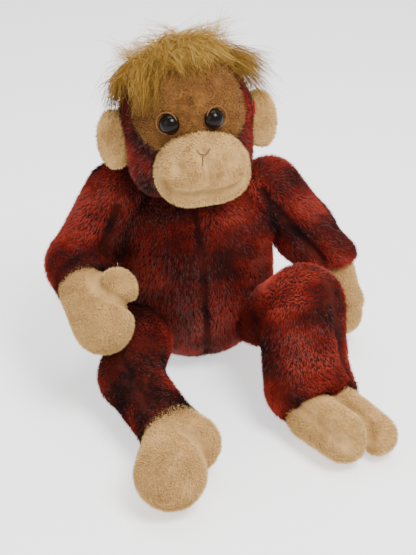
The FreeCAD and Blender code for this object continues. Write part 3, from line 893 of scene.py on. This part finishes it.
def grow(name, on, density, length, width, comb, lean, tone, shades, seed, buried=(), paths=(), frost=None,
         seam_painted_shade=SEAM_PAINTED_SHADE):
    """Pile on a skin: comb gives the brushing direction, lean how flat it lies, tone its shade."""
    rng = np.random.default_rng(seed)
    places, outward = roots_on(on, density * (1), rng)
    room = np.full(len(places), np.inf)
    for field in buried:
        room = np.minimum(room, field(places))
    keep = (room > -COVERED_ROOT) & ((outward[:, 2] > FLOOR_FACING) | (places[:, 2] > FLOOR_ROOM))
    places, outward, room = places[keep], outward[keep], room[keep]
    brushed = comb(places)
    brushed = brushed - outward * np.sum(brushed * outward, 1, keepdims=True)
    wander = rng.normal(size=places.shape) * WANDER
    wander -= outward * np.sum(wander * outward, 1, keepdims=True)
    flow = unit(brushed + wander)
    reach = length * MM * rng.uniform(*LENGTH_SPREAD, len(places))
    for path in paths:
        reach *= np.clip(distance_to_line(places, path) / SEAM_TRIM, SEAM_SHORTEST, 1)
    angle = (lean + rng.normal(size=len(places)) * LEAN_SPREAD)[:, None]
    heading = outward * np.cos(angle) + flow * np.sin(angle)
    base = places - outward * ROOT_DEPTH * MM
    lines = np.stack([base, base + heading * reach[:, None]], 1)
    widths = width * MM * np.array([1.0, 0.0]) * rng.uniform(*WIDTH_SPREAD, (len(places), 1))
    value = tone(places) + rng.normal(size=len(places)) * SHADE_NOISE
    # Painted shade: strands are darker close to where this skin meets another part.
    value -= FOLD_PAINTED_SHADE * np.exp(-np.maximum(room, 0) / FOLD_REACH)
    # Painted shade: strands along each seam are darker, standing for the shade in its groove.
    for path in paths:
        value -= seam_painted_shade * np.exp(-((distance_to_line(places, path) / (SEAM_REACH * MM)) ** 2))
    plain_shades = len(shades) if frost is None else len(shades) - 1
    shade = np.clip((value * plain_shades).astype(int), 0, plain_shades - 1)
    if frost is not None:
        open_ground = np.ones(len(places))
        for path in paths:
            open_ground *= distance_to_line(places, path) > SEAM_REACH * MM
        shade[rng.random(len(places)) < frost(places) * open_ground] = plain_shades
    fur = spikes(name, lines, widths, shade, shades)
    print(f"{name}: {len(places)} strands, {len(fur.data.polygons)} faces")
    return fur


# %% [markdown]
# ## Which way the pile is brushed, and its shade
# The pile runs from the shoulder to the hand, from the hip to the foot, and down the body. Each rule is a
# small function of the place, so that it holds for any number of strands. The dye is blotchy, with broad
# patches and finer ones, and some strands of the red pile have a greyish, frosted tip.


# %% Combing and shading
def comb_down(points):
    """Brushed down and a little outwards."""
    return np.tile([0.0, 0.0, -1.0], (len(points), 1))


def comb_along(chain):
    """Brushed along a chain of places."""

    def comb(points):
        best = np.full(len(points), np.inf)
        flow = np.zeros_like(points)
        for start, end in zip(chain, chain[1:]):
            axis = end - start
            along = np.clip((points - start) @ axis / (axis @ axis), 0, 1)
            distance = np.linalg.norm(points - start - along[:, None] * axis, axis=1)
            nearer = distance < best
            best[nearer] = distance[nearer]
            flow[nearer] = unit(axis)
        return flow

    return comb


def comb_from(place):
    """Brushed away from one place."""
    return lambda points: unit(points - place)


MIDDLE_RED, BROAD_RED, FINE_RED = 0.57, 0.27, 0.12
BROAD_PATCH, FINE_PATCH = 42, 15
BROAD_SEED, FINE_SEED, FROST_SEED, EVEN_SEED = 11, 23, 31, 5


def red_tone(lift, seed):
    """Blotchy red, lifted or lowered as a whole."""

    def tone(points):
        broad = blotchiness(points, BROAD_PATCH, BROAD_SEED + seed)
        fine = blotchiness(points, FINE_PATCH, FINE_SEED + seed)
        return MIDDLE_RED + lift + BROAD_RED * broad + FINE_RED * fine

    return tone


def torso_tone(points):
    """A little brighter on its left side, as painted light on the key lamp's side, and brighter low on the
    belly.
    """
    # Painted light: the side facing the key lamp is a little brighter.
    left = 0.05 * np.clip((points[:, 0] - 5 * MM) / (40 * MM), -1, 1)
    low = 0.13 * np.clip((120 * MM - points[:, 2]) / (60 * MM), 0, 1)
    return red_tone(0.02, 3)(points) + left + low


def light_frost(points):
    """How likely a strand is to have a greyish tip."""
    return np.clip(0.10 + 0.14 * blotchiness(points, 40, FROST_SEED), 0, 0.4)


def belly_frost(points):
    """More greyish tips low on the belly, most of all on its right."""
    low = np.clip((110 * MM - points[:, 2]) / (50 * MM), 0, 1)
    low *= np.clip(0.8 - points[:, 0] / (50 * MM), 0.2, 1)
    return light_frost(points) + 0.35 * low * (points[:, 1] < 0)


def even_tone(points):
    """A nearly even shade with faint mottling."""
    return 0.56 + 0.09 * blotchiness(points, 14, EVEN_SEED)


def muzzle_tone(points):
    """A shade deeper than the hands."""
    return even_tone(points) - 0.20


print("combing ready")

# %% [markdown]
# ## Dress the limbs
# Each sleeve and its pile are one piece, fixed in the part's pose. The cream mitts turn as one piece on
# the wrists and ankles.

# %% Limbs
def settle(thing, material):
    """Gives a skin its cloth, if one is given."""
    if material:
        thing.data.materials.clear()
        thing.data.materials.append(material)
    return thing


LIMB_BODIES = {
    "right_arm": ("right_upper_arm", "right_forearm", "right_hand"),
    "left_arm": ("left_upper_arm", "left_forearm", "left_hand"),
    "right_leg": ("right_thigh", "right_shin", "right_foot"),
    "left_leg": ("left_thigh", "left_shin", "left_foot"),
}
LIMB_LIFT = {"right_arm": 0.04, "left_arm": 0.10, "right_leg": -0.20, "left_leg": 0.08}
RED_DENSITY, RED_LENGTH, RED_WIDTH, RED_LEAN = 0.95, 5.0, 0.58, 1.0
MITT_DENSITY, MITT_LENGTH, MITT_WIDTH, MITT_LEAN = 1.3, 2.9, 0.75, 0.55
SLEEVE_SEED, MITT_SEED = 100, 200

for number, (limb_name, limb) in enumerate(LIMBS.items()):
    upper, lower, end = LIMB_BODIES[limb_name]
    chain = [JOINT[name] for name in limb["chain"]]
    tip = chain[-1] + np.array(limb["lobes"][0][1]) * MM
    sleeve, mitt = skins[limb_name + "_sleeve"], skins[limb_name + "_mitt"]
    paths = [seam_paths[s] for s, row in SEAMS.items() if row[0] == sleeve.name]
    sleeve_fur = grow(
        limb_name + "_sleeve_pile", sleeve, RED_DENSITY, RED_LENGTH, RED_WIDTH,
        comb_along(chain + [tip]), RED_LEAN,
        red_tone(LIMB_LIFT[limb_name], number), RED_SHADES, SLEEVE_SEED + number,
        [FIELDS["torso"], FIELDS[limb_name + "_mitt"]], paths, light_frost,
    )
    paths = [seam_paths[s] for s, row in SEAMS.items() if row[0] == mitt.name]
    mitt_fur = grow(
        limb_name + "_mitt_pile", mitt, MITT_DENSITY, MITT_LENGTH, MITT_WIDTH, comb_along([chain[-1], tip]),
        MITT_LEAN, even_tone, CREAM_SHADES, MITT_SEED + number, [FIELDS[limb_name + "_sleeve"]], paths,
        seam_painted_shade=CREAM_SEAM_PAINTED_SHADE,
    )
    start, finish = (chain[0] + chain[1]) / 2, (chain[1] + chain[2]) / 2
    nodes = [f"{body}_{part}" for body in (upper, lower) for part in ("cover", "stuffing")]
    settle(sleeve, RED_CLOTH_AND_PAINTED_SHADE)
    settle(sleeve_fur, None)
    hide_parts(*nodes)
    for piece in (sleeve, sleeve_fur):
        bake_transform(piece)
        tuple(start)
        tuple(finish)
    settle(mitt, CREAM_CLOTH_AND_PAINTED_SHADE)
    settle(mitt_fur, None)
    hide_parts(end + "_cover", end + "_filling")
    for piece in (mitt, mitt_fur):
        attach(piece, end)

# %% [markdown]
# ## Body and neck
# The body is one bag with a seam down the front and the back. Its pile is brushed down towards the seat. The
# neck is a short tube that fills the gap when the head turns, so it turns with its own joint.

# %% Torso and neck
TORSO_SEED, NECK_SEED = 301, 302
HEAD_PILE_LENGTH = 4.8
sleeves = [FIELDS[name + "_sleeve"] for name in LIMBS]
torso, neck = skins["torso"], skins["neck"]
torso_fur = grow(
    "torso_pile", torso, RED_DENSITY, RED_LENGTH, RED_WIDTH, comb_down, RED_LEAN, torso_tone,
    RED_SHADES, TORSO_SEED,
    sleeves + [FIELDS["neck"]], [seam_paths["belly"], seam_paths["back"]], belly_frost,
)
neck_fur = grow(
    "neck_pile", neck, RED_DENSITY, HEAD_PILE_LENGTH, RED_WIDTH, comb_down, RED_LEAN, red_tone(-0.1, 9),
    RED_SHADES, NECK_SEED,
    [FIELDS["torso"], FIELDS["head"]], frost=light_frost,
)
settle(torso, RED_CLOTH_AND_PAINTED_SHADE)
settle(neck, RED_CLOTH_AND_PAINTED_SHADE)
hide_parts("torso_cover", "torso_stuffing", "seat_pellet_bag")
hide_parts("neck_cover", "neck_stuffing")
for piece, body in ((torso, "torso"), (torso_fur, "torso"), (neck, "neck"), (neck_fur, "neck")):
    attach(piece, body)

# %% [markdown]
# ## Head
# The skull is sewn from red side panels and a round brown face panel. We could only colour that part of the
# head, but the real panel is a cloth of its own with a sewn edge. So it is a thin shell cut from two skulls,
# one a little larger than the head and one a little smaller.

# %% Face panel and head pile
HEAD_SEED, FACE_SEED = 303, 304
FACE_PILE_DENSITY = 1.0
SHORT_LENGTH, SHORT_WIDTH, SHORT_LEAN = 2.6, 0.9, 0.5
HAIRLINE = 34
FACE_ROOM = 60 * MM
FACE_EDGE = 2 * MM
FACE_RADIUS = 40.0
FACE_RISE, FACE_DROP = 46.0, 30.0
FACE_MIDDLE = on_head(-3, -18, 4)


def face_region(points):
    """Negative inside the round window of the face."""
    local = (points - FACE_MIDDLE) @ HEAD_AXES.T
    height = local[..., 2] * FACE_RADIUS / np.where(local[..., 2] > 0, FACE_RISE, FACE_DROP)
    round_part = np.hypot(local[..., 0], height) - FACE_RADIUS * MM
    return np.maximum(round_part, local[..., 1])


head = skins["head"]
thick_skull = egg(HEAD_MIDDLE, (50, 48, 54), HEAD_AXES)
thin_skull = egg(HEAD_MIDDLE, (46, 44, 49), HEAD_AXES)


def face_field(points):
    """A shell over the front of the skull."""
    shell = np.maximum(thick_skull(points), -thin_skull(points))
    return np.maximum(shell, face_region(points))


def scalp(points):
    """Negative where the long hair covers the crown."""
    return on_head(0, 0, HAIRLINE) @ HEAD_UP - points @ HEAD_UP


face = skin("face", face_field, HEAD_MIDDLE - FACE_ROOM, HEAD_MIDDLE + FACE_ROOM, FACE_GRID)
side_fur = grow(
    "head_pile", head, RED_DENSITY, HEAD_PILE_LENGTH, RED_WIDTH, comb_from(on_head(0, -60, 30)), RED_LEAN,
    red_tone(-0.03, 7), RED_SHADES, HEAD_SEED,
    [face_region, scalp, FIELDS["muzzle"], FIELDS["right_ear"], FIELDS["left_ear"], FIELDS["neck"]],
    frost=light_frost,
)
face_fur = grow(
    "face_pile", face, FACE_PILE_DENSITY, SHORT_LENGTH, SHORT_WIDTH, comb_from(on_head(-5, -60, -10)),
    SHORT_LEAN, even_tone, BROWN_SHADES, FACE_SEED,
    [FIELDS["muzzle"], lambda points: thin_skull(points) - FACE_EDGE],
)
settle(head, RED_CLOTH_AND_PAINTED_SHADE)
settle(face, BROWN_CLOTH)
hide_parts("head_cover", "head_stuffing")
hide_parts("face_panel")

# %% [markdown]
# ## Muzzle
# The muzzle is a cream cloth sewn over its own padding, pinched in at the mouth and below the nose. Its pile
# is the same short plush as the hands', but a shade deeper.

# %% Muzzle
MUZZLE_SEED = 305
MUZZLE_PILE_DENSITY = 0.95
muzzle = skins["muzzle"]
head_pieces = [head, face, side_fur, face_fur, muzzle]
# The muzzle's seams get painted shade: darker pile along the mouth, nose and dimples.
muzzle_fur = grow(
    "muzzle_pile", muzzle, MUZZLE_PILE_DENSITY, SHORT_LENGTH, SHORT_WIDTH, comb_from(on_head(-2, -70, -18)),
    SHORT_LEAN, muzzle_tone, CREAM_SHADES, MUZZLE_SEED, [FIELDS["head"]],
    [seam_paths[seam] for seam in ("mouth", "nose", "right_dimple", "left_dimple")],
    seam_painted_shade=CREAM_SEAM_PAINTED_SHADE,
)
settle(muzzle, CREAM_CLOTH_AND_PAINTED_SHADE)
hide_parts("muzzle_cover", "muzzle_stuffing")
head_pieces.append(muzzle_fur)
print("muzzle:", len(muzzle.data.polygons), "quads")

# %% [markdown]
# ## Nose
# The nose is only a pinch of cloth held by a few stitches. The pinch is the seam sunk above; here are the
# stitches, three strands of brown thread that meet in its middle. A painted line would vanish in the pile,
# so each stitch is a real strand laid just above the cloth.

# %% Nose thread
STITCH_WIDTH = 0.9
STITCH_LIFT = 1.2
STITCH_ENDS = ((-4.5, 3), (4.5, 3), (-0.5, -8))
strokes = []
for side, rise in STITCH_ENDS:
    stroke = np.array([on_muzzle(NOSE_SIDE, NOSE_UP), on_muzzle(NOSE_SIDE + side, NOSE_UP + rise)])
    stroke = laid_on(muzzle, stroke)
    strokes.append(stroke + unit(stroke - MUZZLE_MIDDLE) * STITCH_LIFT * MM)
THREAD = plain("nose_thread", (0.22, 0.12, 0.055), 0.9)
strokes = np.array(strokes)
stitch = spikes("nose_thread", strokes, np.full(strokes.shape[:2], STITCH_WIDTH * MM), np.zeros(3), [THREAD])
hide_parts("nose_stitch")
head_pieces.append(stitch)
print("nose:", len(strokes), "stitches")

# %% [markdown]
# ## Dress the ears
# Both ears are cream plush back and front, with a pile that runs outwards from their middle.

# %% Ears
EAR_SEED = 310
EAR_PILE_DENSITY, EAR_PILE_LENGTH = 0.9, 2.4
for number, side in enumerate(("right", "left")):
    ear = skins[side + "_ear"]
    ear_fur = grow(
        side + "_ear_pile", ear, EAR_PILE_DENSITY, EAR_PILE_LENGTH, SHORT_WIDTH,
        comb_from(box_middle(side + "_ear")), SHORT_LEAN, even_tone, CREAM_SHADES, EAR_SEED + number,
        [FIELDS["head"]],
    )
    settle(ear, CREAM_CLOTH_AND_PAINTED_SHADE)
    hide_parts(side + "_ear")
    head_pieces += [ear, ear_fur]

# %% [markdown]
# ## Hair
# The golden tuft is much longer than the pile. Locks of hair rise from the crown and fall forward and to
# both sides. Strands of one lock share a root area and end near the same tip. We could comb one even coat
# of hair, but long pile clumps, and the clumps are what the eye reads as hair.

# %% Hair
STRANDS_PER_LOCK = 24
HAIR_STEPS = 8
SKULL_RADII = np.array([50.5, 49, 54.5]) * MM
SKULL_CLEARANCE = 1.04
ROOT_SPREAD = 0.16
ROOT_SHARE = 0.97
STRAND_SHARE = (0.7, 1.12)
TIP_SPREAD = 4.5
BEND_ROOT, BEND_TIP = 0.55, 0.45
BEND_UP = [0, 0, 0.5]
BEND_SPREAD = (0.7, 1.2)
RIPPLE_WAVES, RIPPLE_START, RIPPLE_SIZE = 7, 6, 1.2
LOCK_TONE_SPREAD, STRAND_TONE_SPREAD = 0.15, 0.12
HAIR_SEED = 77
HAIR_WIDTH, HAIR_TIP_SHARE = 0.42, 0.3
HAIR_TONE, HAIR_TONE_RISE, HAIR_RISE = 0.22, 0.50, 60 * MM

# (locks, lowest and highest root direction, lowest and highest tip in mm, lift in mm), all along the
# head's own directions: towards its left, towards its back, and up
HAIR_GROUPS = [
    (26, (-0.7, -0.45, 0.9), (-0.1, 0.1, 1.0), (-46, -44, 8), (-24, -34, 26), 14),
    (22, (-1.0, -0.1, 0.6), (-0.4, 0.6, 1.0), (-60, -16, 4), (-50, 14, 28), 13),
    (30, (-0.4, -0.45, 0.9), (0.5, 0.3, 1.0), (-22, -48, 32), (32, -38, 44), 17),
    (26, (0.2, -0.4, 0.7), (0.9, 0.4, 1.0), (46, -34, 2), (66, -4, 32), 15),
    (34, (-0.8, 0.1, 0.8), (0.8, 1.1, 1.0), (-46, 22, 34), (46, 56, 58), 12),
    (24, (-0.7, -0.3, 0.9), (0.7, 0.5, 1.0), (-52, -26, 52), (52, 20, 65), 8),
]


def off_the_skull(points):
    """Points in the head's own directions, pushed out to just above the skull."""
    depth = np.linalg.norm(points / SKULL_RADII, axis=-1, keepdims=True)
    return points * np.maximum(1, SKULL_CLEARANCE / depth)


def hair_lock(rng, root, tip, lift):
    """The strands of one lock: from the scalp up over a bend, and down to the tip, closing up on the way."""
    direction = unit(root + rng.normal(size=(STRANDS_PER_LOCK, 3)) * ROOT_SPREAD)
    base = direction * SKULL_RADII * ROOT_SHARE
    share = rng.uniform(*STRAND_SHARE, (STRANDS_PER_LOCK, 1))
    ends = base + (tip + rng.normal(size=(STRANDS_PER_LOCK, 3)) * TIP_SPREAD * MM - base) * share
    bend = base * BEND_ROOT + ends * BEND_TIP + unit(direction + BEND_UP) * lift * rng.uniform(*BEND_SPREAD)
    t = np.linspace(0, 1, HAIR_STEPS)[None, :, None]
    path = base[:, None] * (1 - t) ** 2 + bend[:, None] * 2 * t * (1 - t) + ends[:, None] * t**2
    wave = np.sin(t * RIPPLE_WAVES + rng.uniform(0, RIPPLE_START))
    ripple = wave * rng.normal(size=(1, 1, 3)) * RIPPLE_SIZE * MM * t
    path[:, 1:] = off_the_skull((path + ripple)[:, 1:])
    return path


def hair_lines(rng):
    """Lines of hair, lock by lock, and how light each is."""
    lines, tones = [], []
    for count, root_low, root_high, tip_low, tip_high, lift in HAIR_GROUPS:
        for _ in range(count):
            root = unit(rng.uniform(root_low, root_high))
            tip = rng.uniform(tip_low, tip_high) * MM
            path = hair_lock(rng, root, tip, lift * MM)
            lines.append(HEAD_MIDDLE + path @ HEAD_AXES)
            tones.append(np.full(STRANDS_PER_LOCK, rng.normal() * LOCK_TONE_SPREAD))
    return np.concatenate(lines), np.concatenate(tones)


hair_rng = np.random.default_rng(HAIR_SEED)
lines, lock_tone = hair_lines(hair_rng)
widths = HAIR_WIDTH * MM * np.linspace(1.0, HAIR_TIP_SHARE, HAIR_STEPS) * np.ones((len(lines), 1))
height = (lines[:, -1] - HEAD_MIDDLE) @ HEAD_UP / HAIR_RISE
hair_shade = HAIR_TONE + HAIR_TONE_RISE * height + lock_tone
hair_shade = hair_shade + hair_rng.normal(size=len(lines)) * STRAND_TONE_SPREAD
hair_shade = np.clip((hair_shade * len(HAIR_SHADES)).astype(int), 0, len(HAIR_SHADES) - 1)
hair = spikes("hair", lines, widths, hair_shade, HAIR_SHADES)
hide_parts("hair_tuft")
head_pieces.append(hair)
print("hair:", len(lines), "strands")

# %% [markdown]
# ## Eyes and fastener
# The eyes are polished black plastic domes set in the plush, each held by a washer inside. The part already
# has their true shape, and so it has the fastener's, so they only get a finish. The thin tan rim of bare
# backing that shows round each eye is a ring, added here.

# %% Hard parts
EYE_BLACK = plain("eye_black", (0.006, 0.004, 0.003), 0.12)
EYE_RIM_REACH = 50.3
EYE_RIM_RADIUS, EYE_RIM_THICKNESS = 7.5 * MM, 0.55 * MM
EYE_RIM_SEGMENTS, EYE_RIM_SIDES = 48, 12
EYE_RIM = plain("eye_rim", (0.16, 0.07, 0.025), 0.6)
FASTENER = plain("fastener_red", (0.62, 0.03, 0.03), 0.4)
WASHER = plain("washer_white", (0.75, 0.75, 0.74), 0.5)


def finish_node(node_name, material):
    """Gives a piece of the part its material."""
    mesh = frame["nodes"][node_name].data
    mesh.materials.clear()
    mesh.materials.append(material)


for side in ("right", "left"):
    finish_node(side + "_eye", EYE_BLACK)
    finish_node(side + "_eye_washer", WASHER)
finish_node("tag_fastener", FASTENER)

for side in ("right", "left"):
    low, high = (np.array(corner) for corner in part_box(side + "_eye"))
    middle = (low + high) / 2
    outward = unit(middle - HEAD_MIDDLE)
    seat = HEAD_MIDDLE + outward * EYE_RIM_REACH * MM
    bpy.ops.mesh.primitive_torus_add(
        major_radius=EYE_RIM_RADIUS, minor_radius=EYE_RIM_THICKNESS,
        major_segments=EYE_RIM_SEGMENTS, minor_segments=EYE_RIM_SIDES,
        location=seat, rotation=Vector(outward).to_track_quat("Z", "Y").to_euler(),
    )
    rim = bpy.context.object
    rim.name = side + "_eye_rim"
    rim.data.materials.append(EYE_RIM)
    head_pieces.append(rim)

for piece in head_pieces:
    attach(piece, "head")
print(len(head_pieces), "pieces ride on the head")

# %% [markdown]
# ## Studio
# A pale floor, soft lights from above and both sides, and a camera a little above the toy. Large soft lamps
# keep the shadows under a plush toy weak, so its own folds read instead.

# %% Floor, lights and camera
FLOOR_SIZE, FLOOR_GLOW, SKY_GLOW = 40, 0.95, 0.70
SENSOR = 36
CAMERA_DISTANCE = 1.0
CAMERA_TURN = math.radians(-8)
CAMERA_RISE = math.radians(28)
LOOK_AT = np.array([0.005, -0.020, 0.078])
LENS = 81.1

bpy.ops.mesh.primitive_plane_add(size=FLOOR_SIZE)
floor = bpy.context.object
floor.name = "floor"
floor_white = plain("floor_white", (0.95, 0.95, 0.95), 0.9)
floor_shader = floor_white.node_tree.nodes["Principled BSDF"]
floor_shader.inputs["Emission Color"].default_value = (1, 1, 1, 1)
floor_shader.inputs["Emission Strength"].default_value = FLOOR_GLOW
floor.data.materials.append(floor_white)

world = bpy.data.worlds.new("studio")
bpy.context.scene.world = world
world.use_nodes = True
world.node_tree.nodes["Background"].inputs["Color"].default_value = (1, 1, 1, 1)
world.node_tree.nodes["Background"].inputs["Strength"].default_value = SKY_GLOW


def aim(thing, target):
    """Turns a lamp or camera towards a place."""
    thing.rotation_euler = (Vector(target) - thing.location).to_track_quat("-Z", "Y").to_euler()


def soft_light(name, place, size, power):
    """A square softbox."""
    lamp = bpy.data.lights.new(name, "AREA")
    lamp.size = size
    lamp.energy = power
    thing = bpy.data.objects.new(name, lamp)
    bpy.context.scene.collection.objects.link(thing)
    thing.location = place
    aim(thing, LOOK_AT)


soft_light("key", (0.45, -0.7, 1.4), 0.6, 34)
soft_light("fill", (-1.2, -0.8, 0.8), 1.0, 6)
soft_light("top", (0.0, 0.3, 1.5), 0.8, 10)

backwards = np.array([
    math.sin(CAMERA_TURN) * math.cos(CAMERA_RISE),
    -math.cos(CAMERA_TURN) * math.cos(CAMERA_RISE),
    math.sin(CAMERA_RISE),
])
camera_data = bpy.data.cameras.new("camera")
camera_data.sensor_fit = "VERTICAL"
camera_data.sensor_height = SENSOR
camera_data.lens = LENS
camera = bpy.data.objects.new("camera", camera_data)
bpy.context.scene.collection.objects.link(camera)
camera.location = LOOK_AT + backwards * CAMERA_DISTANCE
aim(camera, LOOK_AT)
bpy.context.scene.camera = camera
